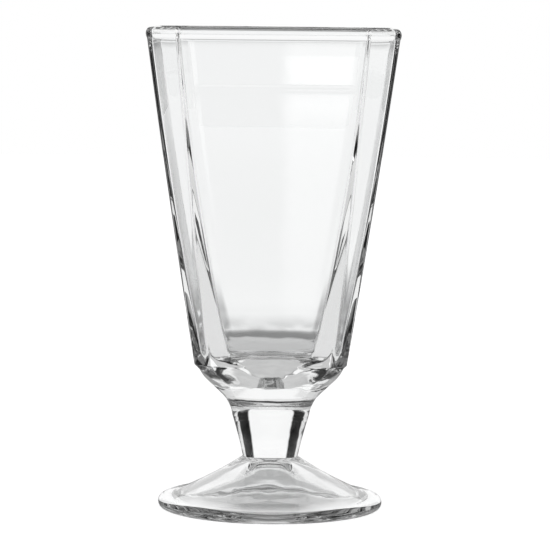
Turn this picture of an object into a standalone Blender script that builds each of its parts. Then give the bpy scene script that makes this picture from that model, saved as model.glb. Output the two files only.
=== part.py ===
"""Stemmed shot glass: a panelled bowl, a tapered stem and a conical foot, welded end to end.

Metres, +Z up. The origin is at the middle of the foot, on the surface that the glass stands on.
"""

import math

import bmesh
import bpy

# Foot
FOOT_DIAMETER = 0.0467
FOOT_HEIGHT = 0.0109
FOOT_EDGE_THICKNESS = 0.0026
FOOT_FLANGE_WIDTH = 0.0032
FOOT_FLANGE_RISE = 0.0009
FOOT_CONE_HOLLOW = 0.0003
FOOT_STEP = 0.0004
FOOT_REST_WIDTH = 0.0022
FOOT_UNDERCUT = 0.0016

# Stem
STEM_LENGTH = 0.0079
STEM_TOP_DIAMETER = 0.0157
STEM_BOTTOM_DIAMETER = 0.0115
STEM_HOLLOW = 0.0001

# Bowl, outside
BOWL_HEIGHT = 0.0806
RIM_WIDTH = 0.0512
RIM_CORNER_CUT = 0.0065
BASE_WIDTH = 0.0304
BASE_CORNER_CUT = 0.0041
PANEL_EDGE_RADIUS = 0.0016
PANEL_BOW = 0.0002
SHOULDER_HEIGHT = 0.0092
SHOULDER_RADIUS = 0.0078
NECK_HEIGHT = 0.0048
NECK_DIAMETER = 0.0211
NECK_HOLLOW = 0.0005
NECK_STEP = 0.0002

# Bowl, lip and inside
LIP_THICKNESS = 0.0022
LIP_BULGE = 0.0001
CAVITY_FLOOR_HEIGHT = 0.0146
CAVITY_FLOOR_WIDTH = 0.0216
CAVITY_CORNER_CUT = 0.0022
CAVITY_EDGE_RADIUS = 0.0018
CAVITY_FLOOR_RADIUS = 0.0024

# Clearance left at each weld
WELD_GAP = 0.0003

# Points on each rounded corner of a section, and steps along each curved stretch of a profile
CORNER_POINTS = 5
CURVE_STEPS = 5
LIP_STEPS = 10

# A circle of radius r is a square of half width r whose corners are cut by this share of r
ROUND_CUT = 2.0 - math.sqrt(2.0)
CORNERS = 8
CORNER_TURN = 2.0 * math.pi / CORNERS

# A fillet stops short of the far end of the walls that it joins
FILLET_REACH = 0.9

SHARP_ANGLE = math.radians(35.0)
GLASS_COLOR = (0.96, 0.97, 0.97, 1.0)
GLASS_ROUGHNESS = 0.02
GLASS_IOR = 1.5


def clear_scene():
    """Remove every object of the open file."""
    for scene_object in list(bpy.data.objects):
        bpy.data.objects.remove(scene_object, do_unlink=True)


def glass_material(name):
    """Clear glass for one piece."""
    material = bpy.data.materials.new(name)
    material.use_nodes = True
    shader = material.node_tree.nodes["Principled BSDF"]
    shader.inputs["Base Color"].default_value = GLASS_COLOR
    shader.inputs["Roughness"].default_value = GLASS_ROUGHNESS
    shader.inputs["Metallic"].default_value = 0.0
    shader.inputs["IOR"].default_value = GLASS_IOR
    shader.inputs["Transmission Weight"].default_value = 1.0
    return material


def mix(low, high, share):
    """Value a share of the way from low to high."""
    return low + (high - low) * share


def section(half, cut, radius, height):
    """Square of half width half with cut corners, each of its eight edges rounded to radius."""
    flats = (half, (2.0 * half - cut) / math.sqrt(2.0))
    points = []
    for corner in range(CORNERS):
        start = corner * CORNER_TURN
        # The rounding's centre lies radius inside both of the flats that meet here
        along = flats[corner % 2] - radius
        across = (flats[(corner + 1) % 2] - radius - along * math.cos(CORNER_TURN)) / math.sin(CORNER_TURN)
        centre_x = along * math.cos(start) - across * math.sin(start)
        centre_y = along * math.sin(start) + across * math.cos(start)
        for step in range(CORNER_POINTS):
            angle = start + CORNER_TURN * (step + 0.5) / CORNER_POINTS
            points.append((centre_x + radius * math.cos(angle), centre_y + radius * math.sin(angle), height))
    return points


def circle(radius, height):
    """Round section with as many points as a cut square."""
    return section(radius, ROUND_CUT * radius, radius, height)


def arc(centre, radius, start, end, steps):
    """Points (across, up) on an arc, both ends included."""
    angles = [mix(start, end, i / steps) for i in range(steps + 1)]
    return [(centre[0] + radius * math.cos(a), centre[1] + radius * math.sin(a)) for a in angles]


def bowed(start, end, bow, steps=CURVE_STEPS):
    """Points (across, up) up a wall that bows outwards by bow at its middle, both ends included."""
    run = end[0] - start[0]
    rise = end[1] - start[1]
    length = math.hypot(run, rise)
    points = []
    for i in range(steps + 1):
        share = i / steps
        out = bow * 4.0 * share * (1.0 - share) / length
        points.append((start[0] + run * share + rise * out, start[1] + rise * share - run * out))
    return points


def fillet(before, corner, after, radius):
    """Points (across, up) that round the corner between two straight walls."""
    reach_before = math.dist(before, corner)
    reach_after = math.dist(after, corner)
    unit_before = [(b - c) / reach_before for b, c in zip(before, corner)]
    unit_after = [(a - c) / reach_after for a, c in zip(after, corner)]
    opening = math.acos(unit_before[0] * unit_after[0] + unit_before[1] * unit_after[1])
    reach = min(radius / math.tan(opening / 2.0), FILLET_REACH * reach_before, FILLET_REACH * reach_after)
    radius = reach * math.tan(opening / 2.0)
    middle = [b + a for b, a in zip(unit_before, unit_after)]
    away = math.hypot(radius, reach) / math.hypot(*middle)
    centre = [c + m * away for c, m in zip(corner, middle)]
    first = [c + u * reach - o for c, u, o in zip(corner, unit_before, centre)]
    last = [c + u * reach - o for c, u, o in zip(corner, unit_after, centre)]
    start = math.atan2(first[1], first[0])
    turn = math.remainder(math.atan2(last[1], last[0]) - start, 2.0 * math.pi)
    return arc(centre, radius, start, start + turn, CURVE_STEPS)


def loft(name, sections):
    """Closed solid through a row of sections, flat at both ends."""
    mesh = bpy.data.meshes.new(name)
    shape = bmesh.new()
    rings = []
    loops = []
    for points in sections:
        ring = [shape.verts.new(point) for point in points]
        loops.append([shape.edges.new((ring[i - 1], ring[i])) for i in range(len(ring))])
        rings.append(ring)
    for lower, upper in zip(loops, loops[1:]):
        bmesh.ops.bridge_loops(shape, edges=lower + upper)
    shape.faces.new(rings[0])
    shape.faces.new(rings[-1])
    bmesh.ops.recalc_face_normals(shape, faces=shape.faces)
    shape.to_mesh(mesh)
    shape.free()
    mesh.shade_smooth()
    mesh.set_sharp_from_angle(angle=SHARP_ANGLE)
    mesh.materials.append(glass_material(name + "_glass"))
    piece = bpy.data.objects.new(name, mesh)
    bpy.context.scene.collection.objects.link(piece)
    return piece


def make_foot():
    """Conical foot on a flat flange, slightly hollow underneath inside its resting ring."""
    edge_radius = FOOT_EDGE_THICKNESS / 2.0
    edge_centre = FOOT_DIAMETER / 2.0 - edge_radius
    rest_inner = edge_centre - FOOT_REST_WIDTH
    cone_base = (edge_centre - FOOT_FLANGE_WIDTH, FOOT_EDGE_THICKNESS + FOOT_FLANGE_RISE)
    cone_top = (STEM_BOTTOM_DIAMETER / 2.0 + FOOT_STEP, FOOT_HEIGHT)
    # The undercut is part of a sphere that meets the resting ring at its inner edge
    sphere = (rest_inner ** 2 + FOOT_UNDERCUT ** 2) / (2.0 * FOOT_UNDERCUT)
    profile = []
    for step in range(1, CURVE_STEPS + 1):
        across = rest_inner * step / CURVE_STEPS
        profile.append((across, FOOT_UNDERCUT - sphere + math.sqrt(sphere ** 2 - across ** 2)))
    profile += arc((edge_centre, edge_radius), edge_radius, -math.pi / 2.0, math.pi / 2.0, LIP_STEPS)
    profile += bowed(cone_base, cone_top, -FOOT_CONE_HOLLOW)
    return loft("foot", [circle(across, up) for across, up in profile])


def make_stem(bottom):
    """Short round stem, wider at the bowl, with slightly hollow sides."""
    start = (STEM_BOTTOM_DIAMETER / 2.0, bottom)
    end = (STEM_TOP_DIAMETER / 2.0, bottom + STEM_LENGTH)
    return loft("stem", [circle(across, up) for across, up in bowed(start, end, -STEM_HOLLOW)])


def make_bowl(bottom):
    """Panelled bowl with a round neck, a thick base, a rounded lip and an open cavity."""
    return loft("bowl", neck_and_panels(bottom) + rounded_lip(bottom) + cavity(bottom))


def neck_and_panels(bottom):
    """Outside from the weld face up to the lip, round at the neck and square above the shoulder."""
    weld = (STEM_TOP_DIAMETER / 2.0 + NECK_STEP, bottom)
    neck = (NECK_DIAMETER / 2.0, bottom + NECK_HEIGHT)
    base = (BASE_WIDTH / 2.0, bottom + SHOULDER_HEIGHT)
    rim = (RIM_WIDTH / 2.0, bottom + BOWL_HEIGHT - LIP_THICKNESS)
    sections = [circle(across, up) for across, up in bowed(weld, neck, -NECK_HOLLOW)]
    shoulder = fillet(neck, base, rim, SHOULDER_RADIUS)
    for step, (half, up) in enumerate(shoulder, start=1):
        square = step / len(shoulder)
        cut = mix(ROUND_CUT * half, BASE_CORNER_CUT, square)
        sections.append(section(half, cut, mix(half, PANEL_EDGE_RADIUS, square), up))
    panel = bowed(shoulder[-1], rim, PANEL_BOW)
    for step, (half, up) in enumerate(panel[1:], start=1):
        cut = mix(BASE_CORNER_CUT, RIM_CORNER_CUT, step / CURVE_STEPS)
        sections.append(section(half, cut, PANEL_EDGE_RADIUS, up))
    return sections


def rounded_lip(bottom):
    """Rounded lip that stands slightly proud of the panels."""
    lip_radius = LIP_THICKNESS / 2.0
    lip_half = RIM_WIDTH / 2.0 + LIP_BULGE
    centre = (lip_half - lip_radius, bottom + BOWL_HEIGHT - lip_radius)
    sections = []
    for half, up in arc(centre, lip_radius, 0.0, math.pi, LIP_STEPS):
        cut = RIM_CORNER_CUT - ROUND_CUT * (lip_half - half)
        sections.append(section(half, cut, PANEL_EDGE_RADIUS, up))
    return sections


def cavity(bottom):
    """Inside of the bowl, from under the lip down to the rounded edge of its floor."""
    top = (RIM_WIDTH / 2.0 + LIP_BULGE - LIP_THICKNESS, bottom + BOWL_HEIGHT - LIP_THICKNESS)
    corner = (CAVITY_FLOOR_WIDTH / 2.0, bottom + CAVITY_FLOOR_HEIGHT)
    middle = (0.0, corner[1])
    sections = []
    for half, up in fillet(top, corner, middle, CAVITY_FLOOR_RADIUS):
        share = half / corner[0]
        sections.append(section(half, CAVITY_CORNER_CUT * share, CAVITY_EDGE_RADIUS * share, up))
    return sections


def main():
    """Make the three pieces, from the foot up."""
    clear_scene()
    make_foot()
    stem_bottom = FOOT_HEIGHT + WELD_GAP
    make_stem(stem_bottom)
    make_bowl(stem_bottom + STEM_LENGTH + WELD_GAP)


main()
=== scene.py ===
"""Looks of the stemmed shot glass: clear pressed glass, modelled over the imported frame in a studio."""

import math

import bmesh
import bpy
from bpy.props import FloatProperty, FloatVectorProperty, PointerProperty
from mathutils import Matrix, Vector


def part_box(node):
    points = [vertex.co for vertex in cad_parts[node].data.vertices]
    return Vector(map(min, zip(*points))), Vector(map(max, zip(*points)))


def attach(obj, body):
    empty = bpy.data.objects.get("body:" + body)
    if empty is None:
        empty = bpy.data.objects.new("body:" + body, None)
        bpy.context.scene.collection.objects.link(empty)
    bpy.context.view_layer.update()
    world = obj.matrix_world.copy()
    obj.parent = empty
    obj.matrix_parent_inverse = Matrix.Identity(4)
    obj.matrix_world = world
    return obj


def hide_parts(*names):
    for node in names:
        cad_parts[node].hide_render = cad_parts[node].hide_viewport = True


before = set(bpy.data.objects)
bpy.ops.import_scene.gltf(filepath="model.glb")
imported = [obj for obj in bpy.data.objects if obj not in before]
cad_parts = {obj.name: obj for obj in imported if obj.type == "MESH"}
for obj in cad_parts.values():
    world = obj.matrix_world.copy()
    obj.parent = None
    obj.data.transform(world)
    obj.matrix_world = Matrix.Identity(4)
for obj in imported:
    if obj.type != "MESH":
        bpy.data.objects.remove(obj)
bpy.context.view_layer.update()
BOWL_LOW, BOWL_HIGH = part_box("bowl")
STEM_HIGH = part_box("stem")[1]
FOOT_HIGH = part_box("foot")[1]

bl_info = {
    "name": "Stemmed Shot Glass",
    "version": (1, 0, 0),
    "blender": (4, 5, 0),
    "location": "3D View > Sidebar > Shot Glass",
    "description": "Models a stemmed shot glass of clear pressed glass piece by piece",
    "category": "Add Mesh",
}

# Mesh density
ROUND_SEGMENTS = 192
EDGE_SEGMENTS = 8
PANEL_CUTS = 23
CORNER_CUTS = 5
LIP_STEPS = 20
CURVE_STEPS = 16
SHORT_STEPS = 4

# Tangent length of a fillet of radius 1 between two flats that turn by an eighth of a circle
EDGE_TANGENT = math.tan(math.pi / 8.0)
# Share of its half width that is cut off a square's corners to make a regular octagon
ROUND_CUT = 2.0 - math.sqrt(2.0)
SHARP_ANGLE = math.radians(50.0)
# Degrees within which an edge counts as facing an axis or a corner
FACING = 1.0
# Distance that keeps the two faces of a weld apart
SEAM = 0.000005
RING_LAYER = "ring"

# Glass
GLASS_COLOR = (0.99, 0.995, 0.995, 1.0)
GLASS_IOR = 1.5
# Waves in its skin: their scale, detail and depth, and their strength in the foot, base and panels
RIPPLE_SCALE = 130.0
RIPPLE_DETAIL = 2.0
RIPPLE_DEPTH = 0.0001
RIPPLE_FOOT = 0.9
RIPPLE_BASE = 3.0
RIPPLE_PANEL = 0.03
# Heights over which the strength goes from that of the base to that of the panels
PANEL_START = (0.0335, 0.0385)
# Duller patches of the skin: scale and detail of the noise, its range and the most roughness
DULL_SCALE = 90.0
DULL_DETAIL = 3.0
DULL_RANGE = (0.45, 0.75)
DULL_MOST = 0.012

# In the studio a pair of numbers is the range over which a value changes, if nothing else is said
WHITE = (1.0, 1.0, 1.0, 1.0)
FLOOR_RADIUS = 1.5
FLOOR_SEGMENTS = 96
# Glow of the floor to the camera, round the glass and far away
FLOOR_TO_CAMERA = (0.8, 0.9)
# Glow of the floor in the glass: by the foot, further behind and in front, to the sides, and far away
FLOOR_CLOSE = 0.32
FLOOR_BEHIND = 0.0
FLOOR_ASIDE = 0.5
FLOOR_AWAY = 0.78
# Where these meet, in metres from the stem and in degrees from the Y axis
CLOSE_REACH = (0.08, 0.1)
ASIDE_TURN = (25.0, 40.0)
AWAY_REACH = (0.12, 0.26)
# Glow that is added far away, and under the foot: painted shade under its middle and painted light under its
# edge
FLOOR_EDGE = 0.03
EDGE_REACH = (0.3, 1.4)
FLOOR_UNDER = (-0.2, 0.15)
UNDER_CENTRE = (0.012, 0.020)
UNDER_REACH = (0.023, 0.034)
# Dark gaps between the white panels in degrees from the Y axis, and the ring of the floor that gets painted
# shade in the same directions
GAP_NEAR = (23.5, 27.0)
GAP_FAR = (48.0, 54.0)
RING_INSIDE = (0.05, 0.08)
RING_OUTSIDE = (0.13, 0.17)
# Ray depths that part solid glass from a hollow, and over which the floor and the panels fade
HOLLOW_DEPTH = (3.2, 4.2)
FLOOR_DEPTH = (5.0, 16.0)
PANEL_DEPTH = (4.5, 8.0)
DEEP_LIGHT = 0.22
# Top of the panels in degrees of height, light of the ceiling over them, and what glass sees on top of it
PANEL_TOP = (30.0, 34.0)
CEILING = 0.3
CEILING_SHINE = 0.5
# Shade on the panel behind the glass: its foot and top in degrees of height, its sides and its strength
BACKDROP_RISE = (1.0, 4.0)
BACKDROP_TOP = (13.0, 18.0)
BACKDROP_SIDE = (0.5, 0.8)
BACKDROP_SHADE = 0.45
# Share of light that mirror images of the front and the sides lose, and loss and least of scattered light
FRONT_SIDE = (-0.3, 0.3)
FRONT_LOSS = 0.45
ASIDE_SIDE = (0.8, 0.95)
ASIDE_LOSS = 0.8
SCATTER_LOSS = 0.45
SCATTER_LEAST = 0.1
# Soft strip light at the front right: foot and top in degrees of height, left end, depth and strength
STRIP_LOW = (12.5, 14.0)
STRIP_HIGH = (15.9, 16.75)
STRIP_LEFT = (-0.0085, -0.003)
STRIP_FRONT = (-0.9, -0.8)
STRIP_LIGHT = 1.6

# Softboxes: name, place, width, height, power in watts and whether they light the floor
SOFTBOXES = (
    ("softbox_top", (0.0, 0.05, 0.9), 0.5, 0.5, 0.6, True),
    ("softbox_left", (-0.7, -0.25, 0.45), 0.9, 0.9, 2.6, False),
)
SOFTBOX_AIM = (0.0, 0.0, 0.05)
SENSOR_WIDTH = 36.0
# Enough bounces for light to find its way out of thick glass
MAX_BOUNCES = 32
GLOSSY_BOUNCES = 16


def length(name, description, default):
    """Size in metres that a user can change."""
    return FloatProperty(name=name, description=description, default=default, unit="LENGTH", precision=5)


def angle(name, description, degrees):
    """Angle that a user can change, with its default in degrees."""
    return FloatProperty(name=name, description=description, default=math.radians(degrees), subtype="ANGLE")


class ShotGlassBowl(bpy.types.PropertyGroup):
    """Sizes of the bowl."""

    rim_width: length("Rim width", "Across the flats at the lip", 0.0513)
    lip_thickness: length("Lip thickness", "Width of the beaded lip", 0.00185)
    lip_height: length("Lip height", "Height of the beaded lip", 0.0026)
    lip_bulge: length("Lip bulge", "How far the lip stands proud of a panel", 0.00025)
    lip_inset: length("Lip inset", "How far the lip stands proud of the wall inside", 0.0002)
    lip_crease: length("Lip crease", "Rounding between the lip and the wall under it", 0.0004)
    rim_cut: length("Rim corner cut", "Length cut off each side at a corner of the rim", 0.0062)
    base_width: length("Base width", "Across the flats where the panels would meet the base", 0.0304)
    base_cut: length("Base corner cut", "Length cut off each side at a corner of the base", 0.0029)
    base_height: length("Base height", "Height of the shoulder corner above the weld", 0.0092)
    edge_radius: length("Edge radius", "Rounding of the panel edges at the rim", 0.0010)
    base_edge: length("Base edge radius", "Rounding of the panel edges at the base", 0.0014)
    inner_edge: length("Inner edge radius", "Rounding of the edges inside, at the rim", 0.0008)
    wall_bow: length("Wall bow", "How far the wall inside bows outwards at half height", 0.0009)
    panel_bow: length("Panel bow", "How far a panel bows outwards at half height", 0.0002)
    shoulder_radius: length("Shoulder radius", "Rounding between panels and underside", 0.0078)
    neck_width: length("Neck width", "Diameter at the top of the neck", 0.0211)
    neck_height: length("Neck height", "Height of the neck above the weld", 0.0048)
    neck_hollow: length("Neck hollow", "How far the sides of the neck curve in", 0.0005)
    weld_width: length("Weld width", "Diameter of the weld under the neck", 0.0160)
    floor_height: length("Floor height", "Height of the edge of the cavity floor above the weld", 0.0138)
    floor_width: length("Floor width", "Across the flats at the cavity floor", 0.0248)
    floor_cut: length("Floor corner cut", "Length cut off each side at a corner of the floor", 0.0037)
    floor_edge: length("Floor corner radius", "Rounding of the corners of the floor", 0.0010)
    floor_radius: length("Floor radius", "Rounding between cavity walls and floor", 0.0035)
    floor_fall: length("Floor fall", "How far the floor falls from its edge to the dimple", 0.0031)
    dimple_width: length("Dimple width", "Width of the dimple in the middle of the floor", 0.0036)
    dimple_flat: length("Dimple flat", "Width of the flat middle of the dimple", 0.0016)
    dimple_depth: length("Dimple depth", "Depth of the dimple", 0.0006)
    dimple_radius: length("Dimple radius", "Rounding of the dimple", 0.0010)


class ShotGlassStem(bpy.types.PropertyGroup):
    """Sizes of the stem."""

    bottom_width: length("Bottom width", "Diameter at the foot", 0.0115)
    hollow: length("Hollow", "How far the sides curve in", 0.0001)


class ShotGlassFoot(bpy.types.PropertyGroup):
    """Sizes of the foot."""

    width: length("Width", "Diameter of the foot", 0.0467)
    edge_thickness: length("Edge thickness", "Height of the rounded edge", 0.0026)
    flange_width: length("Flange width", "Flat rim outside the cone", 0.0032)
    flange_rise: length("Flange rise", "How far the flange climbs to the cone", 0.0009)
    cone_hollow: length("Cone hollow", "How far the sides of the cone curve in", 0.0003)
    top_step: length("Top step", "How far the top stands out past the stem", 0.0004)
    rest_width: length("Rest width", "Flat ring that the glass stands on", 0.0022)
    hollow_height: length("Hollow height", "Height of the point that the sides of the hollow aim at", 0.0092)
    hollow_tip: length("Hollow tip", "Rounding at the top of the hollow", 0.0100)


class ShotGlassStage(bpy.types.PropertyGroup):
    """Camera and floor."""

    camera_distance: length("Camera distance", "From the stem to the camera", 0.6394)
    camera_height: length("Camera height", "Above the surface that the glass stands on", 0.1045)
    camera_aside: length("Camera aside", "To the right of the stem", 0.0006)
    camera_turn: angle("Camera turn", "Round the stem, to the right", 0.5)
    pitch: angle("Pitch", "How far the camera looks down", 4.99)
    roll: angle("Roll", "How far the camera leans", 0.6)
    lens: FloatProperty(name="Lens", description="Focal length in millimetres", default=202.1)
    floor_color: FloatVectorProperty(
        name="Floor colour", description="Pale studio floor", default=(0.9, 0.9, 0.9), subtype="COLOR"
    )


def deselect():
    """Leave edit mode and select no object."""
    if bpy.context.object and bpy.context.object.mode != "OBJECT":
        bpy.ops.object.mode_set(mode="OBJECT")
    bpy.ops.object.select_all(action="DESELECT")


def begin_piece(name):
    """Start an empty mesh object in edit mode, with a mark on its points for the ring they belong to."""
    deselect()
    bpy.ops.object.add(type="MESH", location=(0.0, 0.0, 0.0))
    piece = bpy.context.object
    piece.name = name
    piece.data.name = name
    bpy.ops.object.mode_set(mode="EDIT")
    bmesh.from_edit_mesh(piece.data).verts.layers.int.new(RING_LAYER)
    return piece


def visible_points(piece):
    """Points of the open mesh that aren't hidden."""
    return [point for point in bmesh.from_edit_mesh(piece.data).verts if not point.hide]


def widen_to(piece, half):
    """Scale the visible ring about the stem's axis until it is half wide at +X."""
    reach = max(point.co.x for point in visible_points(piece))
    scale = half / reach
    bpy.ops.transform.resize(value=(scale, scale, 1.0), center_override=(0.0, 0.0, 0.0))


def subdivide_flats(piece, along_axes, cuts):
    """Cut the long edges of the visible ring that face an axis, or those that face a corner."""
    shape = bmesh.from_edit_mesh(piece.data)
    bpy.ops.mesh.select_all(action="DESELECT")
    for edge in shape.edges:
        middle = (edge.verts[0].co + edge.verts[1].co) / 2.0
        turn = math.degrees(math.atan2(middle.y, middle.x)) % 90.0
        faces_axis = min(turn, 90.0 - turn) < FACING
        faces_corner = abs(turn - 45.0) < FACING
        edge.select = not edge.hide and (faces_axis if along_axes else faces_corner)
    bmesh.update_edit_mesh(piece.data)
    bpy.ops.mesh.subdivide(number_cuts=cuts)
    bpy.ops.mesh.select_all(action="SELECT")


def add_ring(piece, number, half, cut, edge, roundness, height):
    """Loop of a square with cut and rounded corners, drawn towards a circle by roundness."""
    bpy.ops.mesh.primitive_plane_add(size=2.0 * half, location=(0.0, 0.0, height))
    bpy.ops.mesh.bevel(offset_type="ABSOLUTE", offset=cut, affect="VERTICES", segments=1)
    bpy.ops.mesh.select_all(action="SELECT")
    rounding = edge * EDGE_TANGENT
    bpy.ops.mesh.bevel(offset_type="ABSOLUTE", offset=rounding, affect="VERTICES", segments=EDGE_SEGMENTS)
    subdivide_flats(piece, True, PANEL_CUTS)
    subdivide_flats(piece, False, CORNER_CUTS)
    bpy.ops.mesh.delete(type="ONLY_FACE")
    bpy.ops.mesh.select_all(action="SELECT")
    if roundness > 0.0:
        bpy.ops.transform.tosphere(value=roundness)
        widen_to(piece, half)
    shape = bmesh.from_edit_mesh(piece.data)
    layer = shape.verts.layers.int[RING_LAYER]
    for point in shape.verts:
        if not point.hide:
            point[layer] = number
    bmesh.update_edit_mesh(piece.data)
    bpy.ops.mesh.hide(unselected=False)


def select_rings(piece, numbers):
    """Select the loops with these numbers and nothing else."""
    bpy.ops.mesh.select_all(action="DESELECT")
    shape = bmesh.from_edit_mesh(piece.data)
    layer = shape.verts.layers.int[RING_LAYER]
    for edge in shape.edges:
        first, second = (point[layer] for point in edge.verts)
        edge.select_set(first == second and first in numbers)
    bmesh.update_edit_mesh(piece.data)


def bridge_rings(piece, count):
    """Skin the loops one after another."""
    bpy.ops.mesh.reveal(select=False)
    for number in range(count - 1):
        select_rings(piece, (number, number + 1))
        bpy.ops.mesh.bridge_edge_loops()


def finish_piece(piece, node):
    """Close the modelling, smooth the skin and put the piece in the frame in place of its node."""
    bpy.ops.mesh.select_all(action="SELECT")
    bpy.ops.mesh.normals_make_consistent(inside=False)
    bpy.ops.mesh.select_all(action="DESELECT")
    bpy.ops.object.mode_set(mode="OBJECT")
    piece.data.attributes.remove(piece.data.attributes[RING_LAYER])
    bpy.ops.object.shade_smooth_by_angle(angle=SHARP_ANGLE)
    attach(piece, "root")
    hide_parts(node)


def cover_weld(piece):
    """Give the selected weld face the second material."""
    piece.active_material_index = 1
    bpy.ops.object.material_slot_assign()


def mix(low, high, share):
    """Value a share of the way from low to high."""
    return low + (high - low) * share


def bowed(start, end, bow, steps):
    """Points (across, up) up a wall that bows outwards by bow at its middle, both ends included."""
    run = end[0] - start[0]
    rise = end[1] - start[1]
    reach = math.hypot(run, rise)
    points = []
    for step in range(steps + 1):
        share = step / steps
        out = bow * 4.0 * share * (1.0 - share) / reach
        points.append((start[0] + run * share + rise * out, start[1] + rise * share - run * out))
    return points


def arc(centre, radius, start, end, steps):
    """Points (across, up) on an arc, both ends included."""
    angles = [mix(start, end, step / steps) for step in range(steps + 1)]
    return [(centre[0] + radius * math.cos(a), centre[1] + radius * math.sin(a)) for a in angles]


def fillet(before, corner, after, radius, steps):
    """Points (across, up) that round the corner between two straight walls."""
    corner = Vector(corner)
    unit_before = (Vector(before) - corner).normalized()
    unit_after = (Vector(after) - corner).normalized()
    opening = unit_before.angle(unit_after)
    reach = radius / math.tan(opening / 2.0)
    centre = corner + (unit_before + unit_after).normalized() * math.hypot(radius, reach)
    first = corner + unit_before * reach - centre
    last = corner + unit_after * reach - centre
    start = math.atan2(first.y, first.x)
    turn = math.remainder(math.atan2(last.y, last.x) - start, 2.0 * math.pi)
    return arc(centre, radius, start, start + turn, steps)


class NodeBuilder:
    """Short ways to add nodes to a tree."""

    def __init__(self, tree):
        self.tree = tree

    def add(self, kind):
        """New node of a kind."""
        return self.tree.nodes.new(kind)

    def feed(self, socket, value):
        """Set a socket to a number, or link it to an output."""
        if isinstance(value, (int, float)):
            socket.default_value = value
        else:
            self.tree.links.new(value, socket)

    def maths(self, operation, *values):
        """Output of a Math node."""
        node = self.add("ShaderNodeMath")
        node.operation = operation
        for socket, value in zip(node.inputs, values):
            self.feed(socket, value)
        return node.outputs[0]

    def times(self, first, *others):
        """Product of two or more values."""
        for other in others:
            first = self.maths("MULTIPLY", first, other)
        return first

    def plus(self, first, *others):
        """Sum of two or more values."""
        for other in others:
            first = self.maths("ADD", first, other)
        return first

    def rest(self, value):
        """What a value leaves of 1."""
        return self.maths("SUBTRACT", 1.0, value)

    def ramp(self, value, low, high, start=0.0, end=1.0):
        """Smooth change from start to end as value goes from low to high."""
        node = self.add("ShaderNodeMapRange")
        node.interpolation_type = "SMOOTHSTEP"
        self.feed(node.inputs["Value"], value)
        self.feed(node.inputs["From Min"], low)
        self.feed(node.inputs["From Max"], high)
        self.feed(node.inputs["To Min"], start)
        self.feed(node.inputs["To Max"], end)
        return node.outputs["Result"]

    def band(self, value, rise, fall):
        """1 between two ranges and 0 outside them."""
        return self.times(self.ramp(value, *rise), self.ramp(value, *fall, 1.0, 0.0))

    def noise(self, place, scale, detail):
        """Soft noise from 0 to 1."""
        node = self.add("ShaderNodeTexNoise")
        self.feed(node.inputs["Vector"], place)
        self.feed(node.inputs["Scale"], scale)
        self.feed(node.inputs["Detail"], detail)
        return node.outputs["Fac"]

    def split(self, place):
        """The X, Y and Z of a place or direction."""
        node = self.add("ShaderNodeSeparateXYZ")
        self.feed(node.inputs[0], place)
        return node.outputs

    def distance(self, place):
        """Distance of a place from the origin."""
        node = self.add("ShaderNodeVectorMath")
        node.operation = "LENGTH"
        self.feed(node.inputs[0], place)
        return node.outputs["Value"]

    def compass(self, direction):
        """Degrees that a direction turns away from the Y axis, from 0 to 90."""
        axes = self.split(direction)
        side = self.maths("ABSOLUTE", axes["X"])
        depth = self.maths("ABSOLUTE", axes["Y"])
        return self.maths("DEGREES", self.maths("ARCTAN2", side, depth))

    def gap(self, turn):
        """1 in the dark gaps between the white panels of the studio, 0 on a panel."""
        return self.band(turn, GAP_NEAR, GAP_FAR)


def pressed_skin():
    """Node group for the waves and the duller patches that pressing leaves in the skin of the glass."""
    group = bpy.data.node_groups.get("pressed_skin")
    if group:
        return group
    group = bpy.data.node_groups.new("pressed_skin", "ShaderNodeTree")
    for name in ("Scale", "Foot", "Base", "Panel"):
        group.interface.new_socket(name, in_out="INPUT", socket_type="NodeSocketFloat")
    for name in ("Wave", "Roughness"):
        group.interface.new_socket(name, in_out="OUTPUT", socket_type="NodeSocketFloat")
    build = NodeBuilder(group)
    given = build.add("NodeGroupInput").outputs
    result = build.add("NodeGroupOutput").inputs
    place = build.add("ShaderNodeTexCoord").outputs["Object"]
    height = build.split(place)["Z"]
    low = build.ramp(height, FOOT_HIGH[2], STEM_HIGH[2], given["Foot"], given["Base"])
    strength = build.ramp(height, *PANEL_START, low, given["Panel"])
    wave = build.noise(place, given["Scale"], RIPPLE_DETAIL)
    dull = build.noise(place, DULL_SCALE, DULL_DETAIL)
    build.feed(result["Wave"], build.times(wave, strength))
    build.feed(result["Roughness"], build.ramp(dull, *DULL_RANGE, 0.0, DULL_MOST))
    return group


def clear_glass(name):
    """Clear pressed glass with waves and duller patches in its skin."""
    material = bpy.data.materials.new(name)
    material.use_nodes = True
    build = NodeBuilder(material.node_tree)
    shader = material.node_tree.nodes["Principled BSDF"]
    shader.inputs["Base Color"].default_value = GLASS_COLOR
    shader.inputs["IOR"].default_value = GLASS_IOR
    shader.inputs["Transmission Weight"].default_value = 1.0
    skin = build.add("ShaderNodeGroup")
    skin.node_tree = pressed_skin()
    skin.inputs["Scale"].default_value = RIPPLE_SCALE
    skin.inputs["Foot"].default_value = RIPPLE_FOOT
    skin.inputs["Base"].default_value = RIPPLE_BASE
    skin.inputs["Panel"].default_value = RIPPLE_PANEL
    bump = build.add("ShaderNodeBump")
    bump.inputs["Distance"].default_value = RIPPLE_DEPTH
    build.feed(bump.inputs["Height"], skin.outputs["Wave"])
    build.feed(shader.inputs["Normal"], bump.outputs["Normal"])
    build.feed(shader.inputs["Roughness"], skin.outputs["Roughness"])
    return material


def fused_glass(name):
    """Inside of a weld, where the glass of two pieces has run together and nothing shows."""
    material = bpy.data.materials.new(name)
    material.use_nodes = True
    shader = material.node_tree.nodes["Principled BSDF"]
    shader.inputs["Alpha"].default_value = 0.0
    return material


def dress(piece):
    """Give a piece its glass, and the material for its welds."""
    piece.data.materials.append(clear_glass(piece.name + "_glass"))
    piece.data.materials.append(fused_glass(piece.name + "_weld"))


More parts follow.
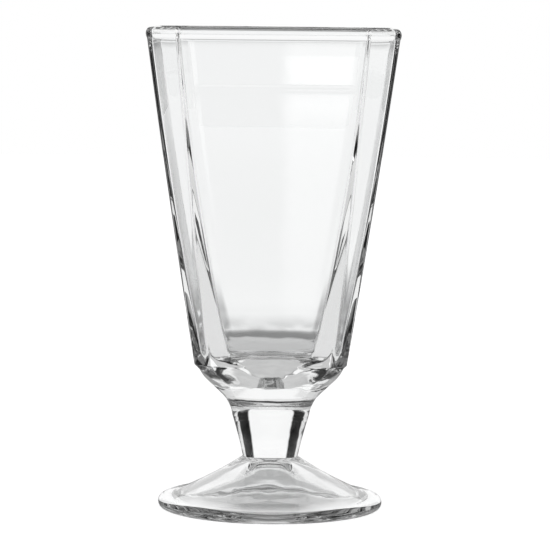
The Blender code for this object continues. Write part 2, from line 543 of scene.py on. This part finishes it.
class SHOTGLASS_OT_bowl(bpy.types.Operator):
    """Model the panelled bowl with its lip, cavity, shoulder and neck"""

    bl_idname = "shotglass.bowl"
    bl_label = "Bowl"

    def execute(self, context):
        sizes = context.scene.shotglass_bowl
        piece = begin_piece("glass_bowl")
        dress(piece)
        rings = self.outside(sizes) + self.lip(sizes) + self.inside(sizes)
        for number, ring in enumerate(rings):
            add_ring(piece, number, *ring)
        bridge_rings(piece, len(rings))
        select_rings(piece, (0,))
        bpy.ops.mesh.edge_face_add()
        cover_weld(piece)
        select_rings(piece, (len(rings) - 1,))
        bpy.ops.mesh.edge_face_add()
        finish_piece(piece, "bowl")
        return {"FINISHED"}

    @staticmethod
    def bead(sizes):
        """Points (across, up) over the beaded lip, from the crease outside it to the crease inside it."""
        radius = sizes.lip_thickness / 2.0
        tall = sizes.lip_height / sizes.lip_thickness
        start = -math.acos(1.0 - sizes.lip_bulge / radius)
        end = math.pi + math.acos(1.0 - sizes.lip_inset / radius)
        curve = arc((sizes.rim_width / 2.0 - radius, -radius), radius, start, end, LIP_STEPS)
        return [(half, BOWL_HIGH[2] + up * tall) for half, up in curve]

    @staticmethod
    def lip_cut(sizes, half):
        """Corner cut of a ring of the lip, so that its corners are set in as far as its sides."""
        return sizes.rim_cut - ROUND_CUT * (sizes.rim_width / 2.0 - sizes.lip_bulge - half)

    @classmethod
    def outside(cls, sizes):
        """Rings from the weld up the neck, round the shoulder and up the panels."""
        bottom = BOWL_LOW[2]
        weld = (sizes.weld_width / 2.0, bottom)
        neck = (sizes.neck_width / 2.0, bottom + sizes.neck_height)
        base = (sizes.base_width / 2.0, bottom + sizes.base_height)
        bead = cls.bead(sizes)
        cut = sizes.base_cut / base[0]
        edge = sizes.base_edge / base[0]
        walls = bowed(weld, neck, -sizes.neck_hollow, CURVE_STEPS)
        rings = [(half, cut * half, edge * half, 1.0, up) for half, up in walls]
        shoulder = fillet(neck, base, bead[0], sizes.shoulder_radius, CURVE_STEPS)
        for step, (half, up) in enumerate(shoulder, start=1):
            roundness = 1.0 - step / len(shoulder)
            rings.append((half, cut * half, edge * half, roundness, up))
        crease = fillet(shoulder[-1], bead[0], bead[1], sizes.lip_crease, SHORT_STEPS)
        panel = bowed(shoulder[-1], crease[0], sizes.panel_bow, CURVE_STEPS)
        for step, (half, up) in enumerate(panel[1:-1], start=1):
            share = step / CURVE_STEPS
            panel_cut = mix(sizes.base_cut, sizes.rim_cut, share)
            rings.append((half, panel_cut, mix(sizes.base_edge, sizes.edge_radius, share), 0.0, up))
        for half, up in crease:
            rings.append((half, sizes.rim_cut, sizes.edge_radius, 0.0, up))
        return rings

    @classmethod
    def lip(cls, sizes):
        """Rings over the beaded lip."""
        rings = []
        points = cls.bead(sizes)
        for step, (half, up) in enumerate(points[1:-1], start=1):
            edge = mix(sizes.edge_radius, sizes.inner_edge, step / len(points))
            rings.append((half, cls.lip_cut(sizes, half), edge, 0.0, up))
        return rings

    @classmethod
    def inside(cls, sizes):
        """Rings down the cavity, round the edge of its floor and down to the dimple."""
        bead = cls.bead(sizes)
        corner = (sizes.floor_width / 2.0, BOWL_LOW[2] + sizes.floor_height)
        crease = fillet(bead[-2], bead[-1], corner, sizes.lip_crease, SHORT_STEPS)
        top = crease[-1]
        top_cut = cls.lip_cut(sizes, top[0])
        dimple = (sizes.dimple_width / 2.0, corner[1] - sizes.floor_fall)
        low = (sizes.dimple_flat / 2.0, dimple[1] - sizes.dimple_depth)
        curve = fillet(top, corner, dimple, sizes.floor_radius, CURVE_STEPS)
        turn = fillet(corner, dimple, low, sizes.dimple_radius, CURVE_STEPS)
        tip = fillet(dimple, low, (0.0, low[1]), sizes.dimple_radius, CURVE_STEPS)
        slope = bowed(curve[-1], turn[0], 0.0, CURVE_STEPS)
        rings = [(half, top_cut, sizes.inner_edge, 0.0, up) for half, up in crease]
        wall = bowed(top, curve[0], -sizes.wall_bow, CURVE_STEPS)
        for step, (half, up) in enumerate(wall[1:-1], start=1):
            share = step / CURVE_STEPS
            cut = mix(top_cut, sizes.floor_cut, share)
            rings.append((half, cut, mix(sizes.inner_edge, sizes.floor_edge, share), 0.0, up))
        for half, up in curve + slope[1:-1] + turn + tip:
            share = half / corner[0]
            rings.append((half, sizes.floor_cut * share * share, sizes.floor_edge * share, 0.0, up))
        return rings


def turn_piece(profile):
    """Closed round skin of the open mesh through the points (across, up) of a profile, flat at both ends."""
    radius, height = profile[0]
    bpy.ops.mesh.primitive_circle_add(
        vertices=ROUND_SEGMENTS, radius=radius, fill_type="NGON", location=(0.0, 0.0, height)
    )
    for (across, up), (next_across, next_up) in zip(profile, profile[1:]):
        bpy.ops.mesh.extrude_region_move(TRANSFORM_OT_translate={"value": (0.0, 0.0, next_up - up)})
        scale = next_across / across
        bpy.ops.transform.resize(value=(scale, scale, 1.0), center_override=(0.0, 0.0, 0.0))


def select_face_at(piece, height, inside):
    """Select the flat face at this height whose middle lies nearer to the axis than inside."""
    bpy.ops.mesh.select_all(action="DESELECT")
    shape = bmesh.from_edit_mesh(piece.data)
    for face in shape.faces:
        middle = face.calc_center_median()
        face.select_set(math.hypot(middle.x, middle.y) < inside and abs(middle.z - height) < SEAM)
    bmesh.update_edit_mesh(piece.data)


class SHOTGLASS_OT_stem(bpy.types.Operator):
    """Model the short tapering stem"""

    bl_idname = "shotglass.stem"
    bl_label = "Stem"

    def execute(self, context):
        sizes = context.scene.shotglass_stem
        piece = begin_piece("glass_stem")
        dress(piece)
        bottom = (sizes.bottom_width / 2.0, FOOT_HIGH[2] + SEAM)
        top = (context.scene.shotglass_bowl.weld_width / 2.0, BOWL_LOW[2] - SEAM)
        turn_piece(bowed(bottom, top, -sizes.hollow, CURVE_STEPS))
        for height in (bottom[1], top[1]):
            select_face_at(piece, height, sizes.bottom_width / 4.0)
            cover_weld(piece)
        finish_piece(piece, "stem")
        return {"FINISHED"}


class SHOTGLASS_OT_foot(bpy.types.Operator):
    """Model the conical foot with its flange, rounded edge and hollow underside"""

    bl_idname = "shotglass.foot"
    bl_label = "Foot"

    def execute(self, context):
        sizes = context.scene.shotglass_foot
        stem_radius = context.scene.shotglass_stem.bottom_width / 2.0
        piece = begin_piece("glass_foot")
        dress(piece)
        turn_piece(self.profile(sizes, stem_radius))
        select_face_at(piece, FOOT_HIGH[2], stem_radius / 2.0)
        cover_weld(piece)
        finish_piece(piece, "foot")
        return {"FINISHED"}

    @classmethod
    def profile(cls, sizes, stem_radius):
        """Points from the weld down the cone, round the edge and in under the foot."""
        edge_radius = sizes.edge_thickness / 2.0
        edge_centre = sizes.width / 2.0 - edge_radius
        rest_inner = edge_centre - sizes.rest_width
        cone_base = (edge_centre - sizes.flange_width, sizes.edge_thickness + sizes.flange_rise)
        cone_top = (stem_radius + sizes.top_step, FOOT_HIGH[2] - sizes.top_step)
        cone = bowed(cone_base, cone_top, -sizes.cone_hollow, CURVE_STEPS)
        points = [(stem_radius, FOOT_HIGH[2])]
        points += reversed(cone)
        points += bowed((edge_centre, sizes.edge_thickness), cone_base, 0.0, SHORT_STEPS)[-2::-1]
        points += arc((edge_centre, edge_radius), edge_radius, math.pi / 2.0, -math.pi / 2.0, LIP_STEPS)[1:]
        points.append(((rest_inner + edge_centre) / 2.0, 0.0))
        points += cls.hollow(sizes, rest_inner)
        return points

    @staticmethod
    def hollow(sizes, mouth):
        """Points up the inside of the hollow, a cone with a rounded tip."""
        point = (0.0, sizes.hollow_height)
        tip = fillet((mouth, 0.0), point, (-mouth, 0.0), sizes.hollow_tip, 2 * CURVE_STEPS)[:CURVE_STEPS]
        return bowed((mouth, 0.0), tip[0], 0.0, CURVE_STEPS) + tip[1:]


class SHOTGLASS_OT_stage(bpy.types.Operator):
    """Set the pale floor, the studio light and the camera"""

    bl_idname = "shotglass.stage"
    bl_label = "Stage"

    def execute(self, context):
        stage = context.scene.shotglass_stage
        context.scene.view_settings.view_transform = "Standard"
        self.add_floor(stage)
        self.light_world(context.scene)
        self.add_softboxes()
        context.scene.cycles.max_bounces = MAX_BOUNCES
        context.scene.cycles.transmission_bounces = MAX_BOUNCES
        context.scene.cycles.glossy_bounces = GLOSSY_BOUNCES
        self.add_camera(context.scene, stage)
        return {"FINISHED"}

    @staticmethod
    def add_floor(stage):
        """Round pale floor, white with a soft shadow to the camera and with its own glow in the glass."""
        deselect()
        bpy.ops.mesh.primitive_circle_add(vertices=FLOOR_SEGMENTS, radius=FLOOR_RADIUS, fill_type="NGON")
        floor = bpy.context.object
        floor.name = "studio_floor"
        material = bpy.data.materials.new("studio_floor")
        material.use_nodes = True
        shader = material.node_tree.nodes["Principled BSDF"]
        shader.inputs["Base Color"].default_value = (*stage.floor_color, 1.0)
        shader.inputs["Roughness"].default_value = 1.0
        shader.inputs["Specular IOR Level"].default_value = 0.0
        shader.inputs["Emission Color"].default_value = WHITE
        build = NodeBuilder(material.node_tree)
        path = build.add("ShaderNodeLightPath").outputs
        place = build.add("ShaderNodeTexCoord").outputs["Object"]
        away = build.distance(place)
        turn = build.compass(place)
        close = build.ramp(away, *CLOSE_REACH, FLOOR_CLOSE, FLOOR_BEHIND)
        near = build.ramp(turn, *ASIDE_TURN, close, FLOOR_ASIDE)
        glow = build.ramp(away, *AWAY_REACH, near, FLOOR_AWAY)
        edge = build.ramp(away, *EDGE_REACH, 0.0, FLOOR_EDGE)
        # Painted shade under the middle of the foot and painted light under its edge, seen in the glass
        under = build.ramp(away, *UNDER_CENTRE, *FLOOR_UNDER)
        under = build.times(under, build.ramp(away, *UNDER_REACH, 1.0, 0.0))
        # Rays that cross solid glass only, through the stem and the base, see painted shade on a ring of the
        # floor, in the directions of the gaps between the panels
        solid = build.ramp(path["Ray Depth"], *HOLLOW_DEPTH, 1.0, 0.0)
        ring = build.band(away, RING_INSIDE, RING_OUTSIDE)
        shade = build.rest(build.times(solid, ring, build.gap(turn)))
        fade = build.ramp(path["Ray Depth"], *FLOOR_DEPTH, 1.0, 0.0)
        through = build.times(path["Is Transmission Ray"], build.plus(glow, edge, under), shade, fade)
        seen = build.times(path["Is Camera Ray"], build.ramp(away, *AWAY_REACH, *FLOOR_TO_CAMERA))
        build.feed(shader.inputs["Emission Strength"], build.maths("MAXIMUM", through, seen))
        floor.data.materials.append(material)

    @staticmethod
    def add_softboxes():
        """Softboxes that the glass shows as highlights, and that give it a soft shadow."""
        for name, place, width, height, power, on_floor in SOFTBOXES:
            deselect()
            place = Vector(place)
            aim = (Vector(SOFTBOX_AIM) - place).to_track_quat("-Z", "Y")
            bpy.ops.object.light_add(type="AREA", location=place, rotation=aim.to_euler())
            lamp = bpy.context.object
            lamp.name = name
            lamp.data.shape = "RECTANGLE"
            lamp.data.size = width
            lamp.data.size_y = height
            lamp.data.energy = power
            lamp.visible_camera = False
            lamp.visible_diffuse = on_floor
            lamp.visible_transmission = False

    @staticmethod
    def light_world(scene):
        """White to the camera, and to the glass a ring of white panels with gaps under a grey ceiling."""
        world = bpy.data.worlds.new("studio")
        scene.world = world
        world.use_nodes = True
        world.node_tree.nodes.clear()
        build = NodeBuilder(world.node_tree)
        path = build.add("ShaderNodeLightPath").outputs
        crossing = path["Is Transmission Ray"]
        scattered = path["Is Diffuse Ray"]
        mirror = build.maths("SUBTRACT", path["Is Reflection Ray"], scattered)
        shine = build.plus(mirror, crossing)
        place = build.add("ShaderNodeTexCoord").outputs["Generated"]
        axes = build.split(place)
        rise = build.maths("DEGREES", build.maths("ARCSINE", axes["Z"]))

        # Only light that has crossed a hollow shows the shade on the panel behind the glass
        hollow = build.ramp(path["Ray Depth"], *HOLLOW_DEPTH)
        behind = build.ramp(axes["Y"], *BACKDROP_SIDE, 0.0, BACKDROP_SHADE)
        backdrop = build.times(build.band(rise, BACKDROP_RISE, BACKDROP_TOP), behind, crossing, hollow)
        panels = build.times(build.rest(build.gap(build.compass(place))), build.rest(backdrop))
        panels = build.times(panels, build.ramp(rise, *PANEL_TOP, 1.0, 0.0))
        level = build.plus(build.times(shine, CEILING_SHINE), CEILING)
        ceiling = build.ramp(rise, *PANEL_TOP, 0.0, level)

        front = build.ramp(axes["Y"], *FRONT_SIDE, FRONT_LOSS, 0.0)
        aside = build.ramp(build.maths("ABSOLUTE", axes["X"]), *ASIDE_SIDE, 0.0, ASIDE_LOSS)
        loss = build.times(mirror, build.maths("MAXIMUM", front, aside))
        loss = build.plus(loss, build.times(scattered, SCATTER_LOSS))
        deep = build.ramp(path["Ray Depth"], *PANEL_DEPTH, 1.0, DEEP_LIGHT)
        studio = build.times(build.plus(panels, ceiling), deep, build.rest(loss))

        right = build.ramp(axes["X"], *STRIP_LEFT)
        ahead = build.ramp(axes["Y"], *STRIP_FRONT, STRIP_LIGHT, 0.0)
        strip = build.times(build.band(rise, STRIP_LOW, STRIP_HIGH), right, ahead, shine)

        least = build.maths("MAXIMUM", build.times(scattered, SCATTER_LEAST), path["Is Camera Ray"])
        background = build.add("ShaderNodeBackground")
        background.inputs["Color"].default_value = WHITE
        strength = build.maths("MAXIMUM", build.plus(studio, strip), least)
        build.feed(background.inputs["Strength"], strength)
        output = build.add("ShaderNodeOutputWorld")
        build.feed(output.inputs["Surface"], background.outputs[0])

    @staticmethod
    def add_camera(scene, stage):
        """Camera at the height and distance that the photograph was taken from."""
        deselect()
        turn = Matrix.Rotation(stage.camera_turn, 4, "Z")
        place = turn @ Vector((stage.camera_aside, -stage.camera_distance, stage.camera_height))
        tilt = Matrix.Rotation(math.pi / 2.0 - stage.pitch, 4, "X")
        look = turn @ tilt @ Matrix.Rotation(stage.roll, 4, "Z")
        bpy.ops.object.camera_add(location=place, rotation=look.to_euler())
        camera = bpy.context.object
        camera.name = "studio_camera"
        camera.data.lens = stage.lens
        camera.data.sensor_width = SENSOR_WIDTH
        scene.camera = camera


class SHOTGLASS_PT_panel(bpy.types.Panel):
    """Sizes and steps of the shot glass"""

    bl_idname = "SHOTGLASS_PT_panel"
    bl_label = "Shot Glass"
    bl_space_type = "VIEW_3D"
    bl_region_type = "UI"
    bl_category = "Shot Glass"

    def draw(self, context):
        for name, _ in GROUPS:
            box = self.layout.box()
            sizes = getattr(context.scene, "shotglass_" + name)
            for entry in sizes.bl_rna.properties:
                if entry.identifier not in ("rna_type", "name"):
                    box.prop(sizes, entry.identifier)
            box.operator("shotglass." + name)


GROUPS = (
    ("bowl", ShotGlassBowl),
    ("stem", ShotGlassStem),
    ("foot", ShotGlassFoot),
    ("stage", ShotGlassStage),
)

CLASSES = (
    SHOTGLASS_OT_bowl,
    SHOTGLASS_OT_stem,
    SHOTGLASS_OT_foot,
    SHOTGLASS_OT_stage,
    SHOTGLASS_PT_panel,
)


def register():
    """Add the groups, operators and panel to Blender."""
    for name, group in GROUPS:
        bpy.utils.register_class(group)
        setattr(bpy.types.Scene, "shotglass_" + name, PointerProperty(type=group))
    for entry in CLASSES:
        bpy.utils.register_class(entry)


def unregister():
    """Take them out again."""
    for entry in reversed(CLASSES):
        bpy.utils.unregister_class(entry)
    for name, group in reversed(GROUPS):
        delattr(bpy.types.Scene, "shotglass_" + name)
        bpy.utils.unregister_class(group)


def main():
    """Make every piece and the stage."""
    register()
    bpy.ops.shotglass.bowl()
    bpy.ops.shotglass.stem()
    bpy.ops.shotglass.foot()
    bpy.ops.shotglass.stage()


if __name__ == "__main__":
    main()
